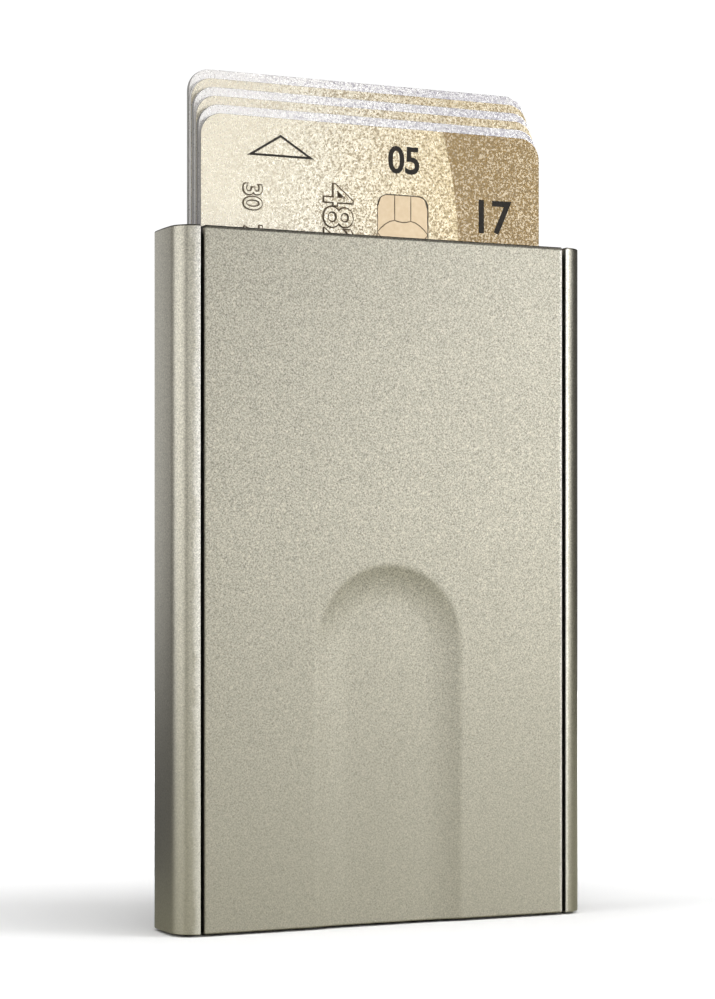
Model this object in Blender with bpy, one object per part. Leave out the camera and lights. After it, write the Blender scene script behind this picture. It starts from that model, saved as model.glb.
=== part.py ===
"""Slim aluminium card wallet with a sliding front plate that lifts a staggered stack of cards.

Frame: metres, +Z up the wallet, +X to the right seen from the front, the front plate towards -Y.
The origin is on the surface that the wallet stands on, below the middle of the case.
"""
import math

import bmesh
import bpy
from mathutils import Vector

# Payment cards, standard ID-1 size
CARD_COUNT = 6
CARD_WIDTH = 0.05398
CARD_LENGTH = 0.0856
CARD_THICKNESS = 0.00076
CARD_CORNER = 0.00318
CARD_GAP = 0.00015
CARD_RISE = 0.00139

# Contact chip of a card: its size, and its centre below the card's top and right of its middle
CHIP_WIDTH = 0.0085
CHIP_HEIGHT = 0.011
CHIP_THICKNESS = 0.0003
CHIP_CORNER = 0.0016
CHIP_BELOW_TOP = 0.0152
CHIP_RIGHT = 0.0048
CHIP_SINK = 0.00005
CHIP_GAP = 0.0001

# Clearances
RUN_GAP = 0.0003
PLATE_GAP = 0.0004
BAY_CLEARANCE = 0.00051
GRIP_CLEARANCE = 0.0002
SPRING_CLEARANCE = 0.000175

# Travel of the front plate
STROKE = 0.024

# Layers of the case from front to back
PLATE_THICKNESS = 0.0018
CARRIAGE_THICKNESS = 0.0014
FENCE_THICKNESS = 0.0006
BACK_ROOM = 0.00049
BACK_WALL = 0.0009

# Layers of the case from the bay to the outer side
CHANNEL_WALL = 0.0006
SIDE_WALL = 0.0015
LIP_WIDTH = 0.00355

# Layers of the case from the floor up
FOOT_HEIGHT = 0.00035
CAP_HEIGHT = 0.0015
LIFTER_FLOOR = 0.0027
TOP_MARGIN = 0.00065
LINER_RECESS = 0.0008

# Rounding of the shell and of the plate
FRONT_CORNER = 0.0032
BACK_CORNER = 0.003
INNER_CORNER = 0.0015
LIP_EDGE = 0.00035
PLATE_EDGE = 0.0006
END_EDGE = 0.00025
CAP_EDGE = 0.0002

# Thumb groove in the plate, open at the bottom edge
GROOVE_WIDTH = 0.0215
GROOVE_TOP = 0.051
GROOVE_DEPTH = 0.001
COVE_WIDTH = 0.005

# Runner tongues, liner channels and the end stop
TONGUE_REACH = 0.0009
STOP_HEIGHT = 0.0009
CHANNEL_FROM_BACK = 0.0012

# Lifter fence and the lugs that push the return springs
FENCE_HEIGHT = 0.0095
LUG_DEPTH = 0.0009
LUG_HEIGHT = 0.0032

# Return springs
SPRING_DIAMETER = 0.002
SPRING_WIRE = 0.0003
SPRING_LENGTH = 0.052
SPRING_TURNS = 20

# Grip springs
GRIP_WIDTH = 0.0038
GRIP_LENGTH = 0.028
GRIP_THICKNESS = 0.0002
GRIP_BELOW_TOP = 0.0045

# Screws
SHANK_RADIUS = 0.0006
HEAD_RADIUS = 0.0012
HEAD_HEIGHT = 0.0005
SCREW_GAP = 0.0002
SOCKET_RADIUS = 0.0005
SOCKET_DEPTH = 0.0003
PLATE_SCREW_INSET = 0.0083
PLATE_SCREW_ABOVE_FENCE = 0.006
PLATE_SCREW_BELOW_TOP = 0.012
PLATE_SCREW_SKIN = 0.0006
LIFTER_SCREW_X = 0.012
LIFTER_SCREW_LENGTH = 0.0046
CAP_SCREW_INSET = 0.0017
CAP_SCREW_SINK = 0.0001
CAP_SCREW_LENGTH = 0.006

# Facets
CORNER_STEPS = 12
EDGE_STEPS = 3
ARCH_STEPS = 32
COVE_STEPS = 8
ROUND_STEPS = 16
GRIP_STEPS = 14
TURN_STEPS = 9
WIRE_SIDES = 4

# A cutter reaches this far past what it cuts
OVERSHOOT = 0.0005

# Depth planes, counted from the plate's front face
CARD_PITCH = CARD_THICKNESS + CARD_GAP
STACK_DEPTH = CARD_PITCH * (CARD_COUNT - 1) + CARD_THICKNESS
CARRIAGE_DEPTH = PLATE_THICKNESS + RUN_GAP
FENCE_DEPTH = CARRIAGE_DEPTH + CARRIAGE_THICKNESS + RUN_GAP
CARD_DEPTH = FENCE_DEPTH + FENCE_THICKNESS + RUN_GAP
BACK_INNER_DEPTH = CARD_DEPTH + STACK_DEPTH + BACK_ROOM
CASE_DEPTH = BACK_INNER_DEPTH + BACK_WALL
FRONT = -CASE_DEPTH / 2
LINER_BACK = FRONT + BACK_INNER_DEPTH - RUN_GAP
CHANNEL_BACK = LINER_BACK - CHANNEL_FROM_BACK
CHANNEL_SIZE = SPRING_DIAMETER + 2 * SPRING_CLEARANCE
CHANNEL_FRONT = CHANNEL_BACK - CHANNEL_SIZE
SPRING_Y = (CHANNEL_FRONT + CHANNEL_BACK) / 2

# Distances from the middle plane
BAY_HALF = CARD_WIDTH / 2 + BAY_CLEARANCE
CHANNEL_INNER = BAY_HALF + CHANNEL_WALL
LINER_OUTER = CHANNEL_INNER + CHANNEL_SIZE
SHELL_INNER = LINER_OUTER + RUN_GAP
CASE_HALF = SHELL_INNER + SIDE_WALL
LIP_INNER = CASE_HALF - LIP_WIDTH
PLATE_HALF = LIP_INNER - PLATE_GAP
TONGUE_HALF = LIP_INNER + TONGUE_REACH
SPRING_X = (CHANNEL_INNER + LINER_OUTER) / 2

# Heights
INSIDE_BOTTOM = CAP_HEIGHT + RUN_GAP
FIRST_STEP = INSIDE_BOTTOM + LIFTER_FLOOR
STOWED_BOTTOM = FIRST_STEP + RUN_GAP
STACK_RISE = CARD_RISE * (CARD_COUNT - 1)
CASE_TOP = STOWED_BOTTOM + CARD_LENGTH + STACK_RISE + TOP_MARGIN
LINER_TOP = CASE_TOP - LINER_RECESS
STOP_BOTTOM = LINER_TOP - STOP_HEIGHT
CARRIAGE_TOP = STOP_BOTTOM - RUN_GAP - STROKE
LUG_TOP = INSIDE_BOTTOM + LUG_HEIGHT
SPRING_BOTTOM = LUG_TOP + RUN_GAP
CHANNEL_TOP = SPRING_BOTTOM + SPRING_LENGTH + RUN_GAP
GRIP_TOP = LINER_TOP - GRIP_BELOW_TOP
LIFTER_SCREW_Z = INSIDE_BOTTOM + LIFTER_FLOOR / 2
FENCE_TOP = FIRST_STEP + FENCE_HEIGHT
PLATE_SCREW_X = PLATE_HALF - PLATE_SCREW_INSET
PLATE_SCREW_LOW = FENCE_TOP + PLATE_SCREW_ABOVE_FENCE
PLATE_SCREW_HIGH = CARRIAGE_TOP - PLATE_SCREW_BELOW_TOP
CAP_SCREW_X = LINER_OUTER - CAP_SCREW_INSET
CAP_SCREW_Y = (FRONT + FENCE_DEPTH + CHANNEL_FRONT) / 2


def clear_scene():
    """Remove whatever objects the opened file holds."""
    for old in list(bpy.data.objects):
        bpy.data.objects.remove(old, do_unlink=True)


def make_material(name, colour, roughness, metallic):
    """A plain Principled finish for one kind of piece."""
    material = bpy.data.materials.new(name)
    material.use_nodes = True
    shader = material.node_tree.nodes["Principled BSDF"]
    shader.inputs["Base Color"].default_value = (*colour, 1.0)
    shader.inputs["Roughness"].default_value = roughness
    shader.inputs["Metallic"].default_value = metallic
    return material


def arc(centre, radius, start, end, steps):
    """Points on a circle from one angle to another, both in degrees."""
    points = []
    for step in range(steps + 1):
        angle = math.radians(start + (end - start) * step / steps)
        points.append((centre[0] + radius * math.cos(angle), centre[1] + radius * math.sin(angle)))
    return points


def without_repeats(points):
    """The outline with each point that lies on the one before it left out."""
    kept = []
    for point in points:
        if not kept or math.dist(point, kept[-1]) > OVERSHOOT / 1000:
            kept.append(point)
    return kept


def rounded_rectangle(low, high, radius, steps):
    """Outline of a rectangle with four equal round corners, counter-clockwise."""
    left, bottom = low[0] + radius, low[1] + radius
    right, top = high[0] - radius, high[1] - radius
    points = arc((right, bottom), radius, -90, 0, steps)
    points += arc((right, top), radius, 0, 90, steps)
    points += arc((left, top), radius, 90, 180, steps)
    points += arc((left, bottom), radius, 180, 270, steps)
    return points


def prism(outline, low, high, axis="Z"):
    """Closed bmesh: a counter-clockwise outline raised along an axis from low to high.

    The outline's two numbers are (x, y) along Z, (x, z) along Y and (y, z) along X.
    """
    place = {
        "Z": lambda point, level: (point[0], point[1], level),
        "Y": lambda point, level: (point[0], level, point[1]),
        "X": lambda point, level: (level, point[0], point[1]),
    }[axis]
    mesh = bmesh.new()
    points = without_repeats(outline)
    first = [mesh.verts.new(place(point, low)) for point in points]
    second = [mesh.verts.new(place(point, high)) for point in points]
    mesh.faces.new(list(reversed(first)))
    mesh.faces.new(second)
    for index in range(len(points)):
        after = (index + 1) % len(points)
        mesh.faces.new((first[index], first[after], second[after], second[index]))
    bmesh.ops.recalc_face_normals(mesh, faces=mesh.faces)
    return mesh


def block(x_range, y_range, z_range):
    """Closed bmesh of a box between three pairs of planes."""
    outline = [
        (x_range[0], y_range[0]),
        (x_range[1], y_range[0]),
        (x_range[1], y_range[1]),
        (x_range[0], y_range[1]),
    ]
    return prism(outline, z_range[0], z_range[1])


def rod(centre, radius, low, high, axis="Z", sides=ROUND_STEPS):
    """Closed bmesh of a round rod along an axis."""
    return prism(arc(centre, radius, 0, 360, sides)[:-1], low, high, axis)


def round_ends(mesh, heights, width):
    """Round every edge that lies in one of the end planes of a piece raised along Z."""
    tolerance = OVERSHOOT / 100
    edges = []
    for edge in mesh.edges:
        for height in heights:
            if all(abs(vertex.co.z - height) < tolerance for vertex in edge.verts):
                edges.append(edge)
    bmesh.ops.bevel(mesh, geom=edges, offset=width, segments=2, profile=0.5, affect="EDGES")


def boolean(body, tools, operation):
    """Join or cut a bmesh with others and return the result; the bmeshes are used up."""
    body_mesh = bpy.data.meshes.new("body")
    body.to_mesh(body_mesh)
    body.free()
    body_object = bpy.data.objects.new("body", body_mesh)
    bpy.context.scene.collection.objects.link(body_object)
    for number, tool in enumerate(tools):
        tool_mesh = bpy.data.meshes.new(f"tool_{number}")
        tool.to_mesh(tool_mesh)
        tool.free()
        tool_object = bpy.data.objects.new(f"tool_{number}", tool_mesh)
        bpy.context.scene.collection.objects.link(tool_object)
        modifier = body_object.modifiers.new(f"step_{number}", "BOOLEAN")
        modifier.operation = operation
        modifier.solver = "EXACT"
        modifier.object = tool_object
    evaluated = body_object.evaluated_get(bpy.context.evaluated_depsgraph_get())
    result = bmesh.new()
    result.from_mesh(evaluated.to_mesh())
    evaluated.to_mesh_clear()
    for modifier in list(body_object.modifiers):
        bpy.data.objects.remove(modifier.object, do_unlink=True)
    bpy.data.objects.remove(body_object, do_unlink=True)
    return result


def cut(body, tools):
    return boolean(body, tools, "DIFFERENCE")


def join(body, tools):
    return boolean(body, tools, "UNION")


def to_mesh(name, source, material, origin=(0.0, 0.0, 0.0), smooth_angle=30.0):
    """Mesh data with its own material; origin is the point that the mesh turns and moves about."""
    bmesh.ops.translate(source, verts=source.verts, vec=-Vector(origin))
    mesh = bpy.data.meshes.new(name)
    source.to_mesh(mesh)
    source.free()
    mesh.materials.append(material)
    mesh.shade_smooth()
    mesh.set_sharp_from_angle(angle=math.radians(smooth_angle))
    return mesh


def place(name, mesh, parent=None, location=(0.0, 0.0, 0.0), rotation=(0.0, 0.0, 0.0)):
    """One named object, placed under its parent."""
    item = bpy.data.objects.new(name, mesh)
    bpy.context.scene.collection.objects.link(item)
    item.parent = parent
    item.location = location
    item.rotation_euler = rotation
    return item


def shell_mesh(material):
    """C-section extrusion: back wall, two round-cornered rails and their front lips."""
    lip_back = FRONT + PLATE_THICKNESS
    inner_back = FRONT + BACK_INNER_DEPTH
    back = FRONT + CASE_DEPTH
    front_corner = min(FRONT_CORNER, LIP_WIDTH - LIP_EDGE)
    front_centre = (CASE_HALF - front_corner, FRONT + front_corner)
    back_centre = (CASE_HALF - BACK_CORNER, back - BACK_CORNER)
    inner_centre = (SHELL_INNER - INNER_CORNER, inner_back - INNER_CORNER)
    lip_centre = (LIP_INNER + LIP_EDGE, FRONT + LIP_EDGE)
    right = [(LIP_INNER, lip_back)]
    right += arc(lip_centre, LIP_EDGE, 180, 270, EDGE_STEPS)
    right += arc(front_centre, front_corner, -90, 0, CORNER_STEPS)
    right += arc(back_centre, BACK_CORNER, 0, 90, CORNER_STEPS)
    inside = arc(inner_centre, INNER_CORNER, 90, 0, CORNER_STEPS // 2)
    inside.append((SHELL_INNER, lip_back))
    outline = right + [(-x, y) for x, y in reversed(right)]
    outline += [(-x, y) for x, y in reversed(inside)] + inside
    body = prism(outline, FOOT_HEIGHT, CASE_TOP)
    round_ends(body, (FOOT_HEIGHT, CASE_TOP), END_EDGE)
    return to_mesh("rear_shell", body, material)


def groove_tool():
    """Cutter of the thumb groove: a flat floor with a soft cove, straight below, round at the top."""
    cove_radius = (COVE_WIDTH**2 + GROOVE_DEPTH**2) / (2 * GROOVE_DEPTH)
    floor_half = GROOVE_WIDTH / 2 - COVE_WIDTH
    arch_height = GROOVE_TOP - GROOVE_WIDTH / 2
    low = FOOT_HEIGHT - OVERSHOOT
    last = math.acos(1 - (GROOVE_DEPTH + OVERSHOOT) / cove_radius)
    mesh = bmesh.new()
    rows = []
    for step in range(COVE_STEPS + 1):
        angle = last * step / COVE_STEPS
        reach = floor_half + cove_radius * math.sin(angle)
        level = FRONT + GROOVE_DEPTH - cove_radius * (1 - math.cos(angle))
        path = [(-reach, low)] + arc((0.0, arch_height), reach, 180, 0, ARCH_STEPS) + [(reach, low)]
        rows.append([mesh.verts.new((x, level, z)) for x, z in path])
    for inner, outer in zip(rows, rows[1:]):
        for index in range(len(inner) - 1):
            mesh.faces.new((inner[index], inner[index + 1], outer[index + 1], outer[index]))
    mesh.faces.new(rows[0])
    mesh.faces.new(rows[-1])
    mesh.faces.new([row[0] for row in rows] + [row[-1] for row in reversed(rows)])
    bmesh.ops.recalc_face_normals(mesh, faces=mesh.faces)
    return mesh


def plate_mesh(material):
    """Sliding front plate with soft long edges, the thumb groove and four blind screw holes."""
    back = FRONT + PLATE_THICKNESS
    edge_centre = (PLATE_HALF - PLATE_EDGE, FRONT + PLATE_EDGE)
    right = arc(edge_centre, PLATE_EDGE, -90, 0, EDGE_STEPS) + [(PLATE_HALF, back)]
    outline = right + [(-x, y) for x, y in reversed(right)]
    body = prism(outline, FOOT_HEIGHT, CASE_TOP)
    round_ends(body, (FOOT_HEIGHT, CASE_TOP), END_EDGE)
    tools = [groove_tool()]
    for x, z in plate_screw_places():
        tools.append(screw_hole((x, z), FRONT + PLATE_SCREW_SKIN, back + OVERSHOOT, "Y"))
    return to_mesh("front_plate", cut(body, tools), material)


def screw_hole(centre, low, high, axis):
    return rod(centre, SHANK_RADIUS + SCREW_GAP, low, high, axis)


def plate_screw_places():
    """The four screws that hold the carriage, as (x, z)."""
    return [(side * PLATE_SCREW_X, z) for z in (PLATE_SCREW_LOW, PLATE_SCREW_HIGH) for side in (-1, 1)]


def carriage_mesh(material):
    """Runner plate behind the front plate; its long edges run behind the shell's lips."""
    front = FRONT + CARRIAGE_DEPTH
    back = front + CARRIAGE_THICKNESS
    body = block((-TONGUE_HALF, TONGUE_HALF), (front, back), (INSIDE_BOTTOM, CARRIAGE_TOP))
    tools = []
    for centre in plate_screw_places():
        tools.append(screw_hole(centre, front - OVERSHOOT, back + OVERSHOOT, "Y"))
    for side in (-1, 1):
        centre = (side * LIFTER_SCREW_X, LIFTER_SCREW_Z)
        tools.append(screw_hole(centre, front - OVERSHOOT, back + OVERSHOOT, "Y"))
        seat = front + HEAD_HEIGHT + RUN_GAP
        tools.append(rod(centre, HEAD_RADIUS + SCREW_GAP, front - OVERSHOOT, seat, "Y"))
    return to_mesh("slide_carriage", cut(body, tools), material)


def lifter_mesh(material):
    """Stepped block with a fence in front of the cards and a lug on each side for its spring."""
    fence_front = FRONT + FENCE_DEPTH
    first_riser = FRONT + CARD_DEPTH - CARD_GAP / 2
    back = first_riser + CARD_PITCH * CARD_COUNT
    fence_back = fence_front + FENCE_THICKNESS
    outline = [(fence_front, INSIDE_BOTTOM), (back, INSIDE_BOTTOM)]
    for step in reversed(range(CARD_COUNT)):
        level = FIRST_STEP + CARD_RISE * step
        outline.append((first_riser + CARD_PITCH * (step + 1), level))
        if step:
            outline.append((first_riser + CARD_PITCH * step, level))
    outline.append((fence_back, FIRST_STEP))
    outline.append((fence_back, FENCE_TOP))
    outline.append((fence_front, FENCE_TOP))
    half = BAY_HALF - RUN_GAP
    body = prism(outline, -half, half, "X")
    lug_y = (SPRING_Y - LUG_DEPTH / 2, SPRING_Y + LUG_DEPTH / 2)
    lugs = []
    for side in (-1, 1):
        ends = sorted((side * (half - OVERSHOOT), side * (LINER_OUTER - RUN_GAP)))
        lugs.append(block(ends, lug_y, (INSIDE_BOTTOM, LUG_TOP)))
    body = join(body, lugs)
    depth = LIFTER_SCREW_LENGTH - CARRIAGE_THICKNESS + HEAD_HEIGHT
    holes = []
    for side in (-1, 1):
        centre = (side * LIFTER_SCREW_X, LIFTER_SCREW_Z)
        holes.append(screw_hole(centre, fence_front - OVERSHOOT, fence_front + depth, "Y"))
    return to_mesh("card_lifter", cut(body, holes), material)


def liner_mesh(side, material):
    """Guide strip of one rail: tongue groove with its end stop, spring channel and grip pocket."""
    front = FRONT + CARRIAGE_DEPTH
    corner = INNER_CORNER - RUN_GAP
    outline = [(BAY_HALF, front), (LINER_OUTER, front)]
    outline += arc((LINER_OUTER - corner, LINER_BACK - corner), corner, 0, 90, CORNER_STEPS // 2)
    outline.append((BAY_HALF, LINER_BACK))
    body = prism(outline, INSIDE_BOTTOM, LINER_TOP)
    below = INSIDE_BOTTOM - OVERSHOOT
    bay_side = BAY_HALF - OVERSHOOT
    groove_x = (bay_side, TONGUE_HALF + RUN_GAP)
    groove_y = (front - OVERSHOOT, FRONT + FENCE_DEPTH)
    slot_y = (SPRING_Y - LUG_DEPTH / 2 - RUN_GAP, SPRING_Y + LUG_DEPTH / 2 + RUN_GAP)
    slot_top = LUG_TOP + STROKE + RUN_GAP
    pocket_y = (SPRING_Y - GRIP_WIDTH / 2 - RUN_GAP, SPRING_Y + GRIP_WIDTH / 2 + RUN_GAP)
    pocket_z = (GRIP_TOP - GRIP_LENGTH - RUN_GAP, GRIP_TOP + RUN_GAP)
    screw_top = CAP_SCREW_SINK + CAP_SCREW_LENGTH + RUN_GAP
    tools = [
        block(groove_x, groove_y, (below, STOP_BOTTOM)),
        block((CHANNEL_INNER, LINER_OUTER + OVERSHOOT), (CHANNEL_FRONT, CHANNEL_BACK), (below, CHANNEL_TOP)),
        block((bay_side, CHANNEL_INNER + OVERSHOOT), slot_y, (below, slot_top)),
        block((bay_side, CHANNEL_INNER), pocket_y, pocket_z),
        screw_hole((CAP_SCREW_X, CAP_SCREW_Y), below, screw_top, "Z"),
    ]
    body = cut(body, tools)
    if side < 0:
        bmesh.ops.scale(body, verts=body.verts, vec=(-1, 1, 1))
        bmesh.ops.reverse_faces(body, faces=body.faces)
    return to_mesh("liner", body, material)


def cap_mesh(material):
    """Plug that closes the bottom; it stands proud of the shell as the wallet's foot."""
    corner = INNER_CORNER - RUN_GAP
    front = FRONT + CARRIAGE_DEPTH
    right = [(LINER_OUTER, front)]
    right += arc((LINER_OUTER - corner, LINER_BACK - corner), corner, 0, 90, CORNER_STEPS // 2)
    body = prism(right + [(-x, y) for x, y in reversed(right)], 0.0, CAP_HEIGHT)
    round_ends(body, (0.0,), CAP_EDGE)
    tools = []
    for side in (-1, 1):
        centre = (side * CAP_SCREW_X, CAP_SCREW_Y)
        tools.append(screw_hole(centre, -OVERSHOOT, CAP_HEIGHT + OVERSHOOT, "Z"))
        seat = CAP_SCREW_SINK + HEAD_HEIGHT + RUN_GAP
        tools.append(rod(centre, HEAD_RADIUS + SCREW_GAP, -OVERSHOOT, seat, "Z"))
    return to_mesh("bottom_cap", cut(body, tools), material)


def screw_mesh(length, material):
    """Flat-headed screw with a hexagon socket; its head's face is at the origin, shank along +Z."""
    head = rod((0.0, 0.0), HEAD_RADIUS, 0.0, HEAD_HEIGHT)
    shank = rod((0.0, 0.0), SHANK_RADIUS, HEAD_HEIGHT / 2, length)
    socket = rod((0.0, 0.0), SOCKET_RADIUS, -OVERSHOOT, SOCKET_DEPTH, sides=6)
    return to_mesh("screw", cut(join(head, [shank]), [socket]), material)


def spring_mesh(material):
    """Compression spring: one round wire on a helix, its lower end at the origin."""
    radius = (SPRING_DIAMETER - SPRING_WIRE) / 2
    wire = SPRING_WIRE / 2
    climb = (SPRING_LENGTH - SPRING_WIRE) / SPRING_TURNS
    mesh = bmesh.new()
    rings = []
    for step in range(SPRING_TURNS * TURN_STEPS + 1):
        turn = step / TURN_STEPS
        angle = math.tau * turn
        outward = Vector((math.cos(angle), math.sin(angle), 0.0))
        centre = outward * radius + Vector((0.0, 0.0, wire + climb * turn))
        ring = []
        for side in range(WIRE_SIDES):
            round_wire = math.tau * side / WIRE_SIDES
            offset = outward * math.cos(round_wire) + Vector((0.0, 0.0, math.sin(round_wire)))
            ring.append(mesh.verts.new(centre + offset * wire))
        rings.append(ring)
    for lower, upper in zip(rings, rings[1:]):
        for side in range(WIRE_SIDES):
            after = (side + 1) % WIRE_SIDES
            mesh.faces.new((lower[side], lower[after], upper[after], upper[side]))
    mesh.faces.new(rings[0])
    mesh.faces.new(rings[-1])
    bmesh.ops.recalc_face_normals(mesh, faces=mesh.faces)
    return to_mesh("return_spring", mesh, material, smooth_angle=50.0)


def grip_mesh(material):
    """Leaf spring of the right side, bowed towards the cards; the middle of its bow is the origin."""
    half = GRIP_LENGTH / 2
    end_x = CHANNEL_INNER - GRIP_CLEARANCE - GRIP_THICKNESS
    bow = end_x - (CARD_WIDTH / 2 + GRIP_CLEARANCE)
    radius = (half**2 + bow**2) / (2 * bow)
    spread = math.degrees(math.asin(half / radius))
    centre = (radius, 0.0)
    bay_side = arc(centre, radius, 180 + spread, 180 - spread, GRIP_STEPS)
    wall_side = [(x + GRIP_THICKNESS, z) for x, z in reversed(bay_side)]
    body = prism(bay_side + wall_side, -GRIP_WIDTH / 2, GRIP_WIDTH / 2, "Y")
    return to_mesh("grip_spring", body, material)


def card_mesh(name, material):
    """Payment card with a shallow pocket for its chip; the middle of its lower front edge is the origin."""
    half = CARD_WIDTH / 2
    outline = rounded_rectangle((-half, 0.0), (half, CARD_LENGTH), CARD_CORNER, CORNER_STEPS // 2)
    body = prism(outline, 0.0, CARD_THICKNESS, "Y")
    pocket = chip_body(-OVERSHOOT, CHIP_SINK + CHIP_THICKNESS + CHIP_GAP, CHIP_GAP)
    return to_mesh(name, cut(body, [pocket]), material)


def chip_body(front, back, growth):
    """The chip's rounded block at its place in a card, grown by a margin on all four edges."""
    half_width = CHIP_WIDTH / 2 + growth
    half_height = CHIP_HEIGHT / 2 + growth
    middle = CARD_LENGTH - CHIP_BELOW_TOP
    low = (CHIP_RIGHT - half_width, middle - half_height)
    high = (CHIP_RIGHT + half_width, middle + half_height)
    outline = rounded_rectangle(low, high, CHIP_CORNER + growth, CORNER_STEPS // 3)
    return prism(outline, front, back, "Y")


def build_slide(parent, aluminium, nylon, steel):
    """Everything that rises with the front plate."""
    place("front_plate", plate_mesh(aluminium), parent)
    place("slide_carriage", carriage_mesh(nylon), parent)
    place("card_lifter", lifter_mesh(nylon), parent)
    carriage_back = FRONT + CARRIAGE_DEPTH + CARRIAGE_THICKNESS
    head_back = carriage_back + RUN_GAP + HEAD_HEIGHT
    plate_screw_end = FRONT + PLATE_SCREW_SKIN + RUN_GAP
    plate_screw = screw_mesh(head_back - plate_screw_end, steel)
    for number, (x, z) in enumerate(plate_screw_places(), start=1):
        place(f"plate_screw_{number}", plate_screw, parent, (x, head_back, z), (math.pi / 2, 0.0, 0.0))
    lifter_screw = screw_mesh(LIFTER_SCREW_LENGTH, steel)
    for number, side in enumerate((-1, 1), start=1):
        location = (side * LIFTER_SCREW_X, FRONT + CARRIAGE_DEPTH, LIFTER_SCREW_Z)
        place(f"lifter_screw_{number}", lifter_screw, parent, location, (-math.pi / 2, 0.0, 0.0))


def build_case(parent, aluminium, nylon, steel):
    """The shell and all that stays with it, the springs included."""
    place("rear_shell", shell_mesh(aluminium), parent)
    place("bottom_cap", cap_mesh(nylon), parent)
    cap_screw = screw_mesh(CAP_SCREW_LENGTH, steel)
    spring = spring_mesh(steel)
    grip = grip_mesh(steel)
    grip_x = CARD_WIDTH / 2 + GRIP_CLEARANCE
    for name, side in (("left", -1), ("right", 1)):
        place(f"{name}_liner", liner_mesh(side, nylon), parent)
        screw_place = (side * CAP_SCREW_X, CAP_SCREW_Y, CAP_SCREW_SINK)
        place(f"cap_screw_{name}", cap_screw, parent, screw_place)
        place(f"{name}_return_spring", spring, parent, (side * SPRING_X, SPRING_Y, SPRING_BOTTOM))
        turn = (0.0, 0.0, math.pi if side < 0 else 0.0)
        height = GRIP_TOP - GRIP_LENGTH / 2
        place(f"{name}_grip_spring", grip, parent, (side * grip_x, SPRING_Y, height), turn)


def build_cards(parent, prints, contact):
    """The staggered stack, standing where the raised lifter left it."""
    meshes = [card_mesh(f"card_{number}", material) for number, material in enumerate(prints, start=1)]
    chip = to_mesh("card_chip", chip_body(CHIP_SINK, CHIP_SINK + CHIP_THICKNESS, 0.0), contact)
    for number in range(CARD_COUNT):
        y = FRONT + CARD_DEPTH + CARD_PITCH * number
        z = STOWED_BOTTOM + STROKE + CARD_RISE * number
        card = place(f"card_{number + 1}", meshes[number % len(meshes)], parent, (0.0, y, z))
        place(f"card_{number + 1}_chip", chip, card)


def build():
    clear_scene()
    aluminium = make_material("blasted_aluminium", (0.56, 0.53, 0.46), 0.45, 1.0)
    nylon = make_material("black_nylon", (0.02, 0.02, 0.022), 0.6, 0.0)
    steel = make_material("spring_steel", (0.55, 0.55, 0.56), 0.3, 1.0)
    gold = make_material("gold_card_print", (0.78, 0.58, 0.28), 0.4, 0.6)
    silver = make_material("silver_card_print", (0.74, 0.73, 0.74), 0.4, 0.6)
    contact = make_material("chip_contact", (0.85, 0.68, 0.42), 0.3, 1.0)
    case = place("case", None)
    slide = place("slide", None, case)
    build_case(case, aluminium, nylon, steel)
    build_slide(slide, aluminium, nylon, steel)
    build_cards(case, (gold, silver), contact)


build()
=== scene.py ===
# %% [markdown]
# # A slim aluminium card wallet
# The measured parts come in as a fixed frame: a shell, a sliding front plate with a thumb groove,
# and six payment cards that a stepped lifter pushes up. This lesson dresses them. Each step says what
# the piece is on the real wallet, how it could be made in Blender, and why one way was picked.

# %% Load the frame
import math

import bmesh
import bpy
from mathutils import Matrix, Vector


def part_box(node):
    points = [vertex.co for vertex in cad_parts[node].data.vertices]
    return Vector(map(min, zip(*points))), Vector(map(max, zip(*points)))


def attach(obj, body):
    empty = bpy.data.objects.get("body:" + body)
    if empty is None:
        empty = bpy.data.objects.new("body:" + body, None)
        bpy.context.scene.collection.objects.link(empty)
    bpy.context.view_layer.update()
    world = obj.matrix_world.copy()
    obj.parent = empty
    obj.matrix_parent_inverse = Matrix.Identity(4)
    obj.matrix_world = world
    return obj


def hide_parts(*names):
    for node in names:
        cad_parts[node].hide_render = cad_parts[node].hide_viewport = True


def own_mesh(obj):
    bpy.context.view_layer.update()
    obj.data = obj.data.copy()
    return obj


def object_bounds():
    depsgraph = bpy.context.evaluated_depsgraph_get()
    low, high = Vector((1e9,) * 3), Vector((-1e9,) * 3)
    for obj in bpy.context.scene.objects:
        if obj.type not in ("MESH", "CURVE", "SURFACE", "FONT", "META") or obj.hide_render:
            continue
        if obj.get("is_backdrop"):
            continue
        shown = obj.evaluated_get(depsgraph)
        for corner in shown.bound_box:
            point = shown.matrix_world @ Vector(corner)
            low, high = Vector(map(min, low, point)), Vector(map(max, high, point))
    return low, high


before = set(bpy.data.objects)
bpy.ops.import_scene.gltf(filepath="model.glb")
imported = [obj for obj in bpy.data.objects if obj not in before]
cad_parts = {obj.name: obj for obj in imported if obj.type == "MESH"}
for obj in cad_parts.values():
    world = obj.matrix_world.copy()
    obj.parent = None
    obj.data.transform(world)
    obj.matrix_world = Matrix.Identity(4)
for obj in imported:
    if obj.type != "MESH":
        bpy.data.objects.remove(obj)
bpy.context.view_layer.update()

MM = 0.001

# %% [markdown]
# ## Camera
# A product picture keeps upright lines upright, so the camera looks level and its lens is shifted.
# Tilting the camera would make the wallet's sides lean. The picture is taken upright, 715 by 999.

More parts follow.
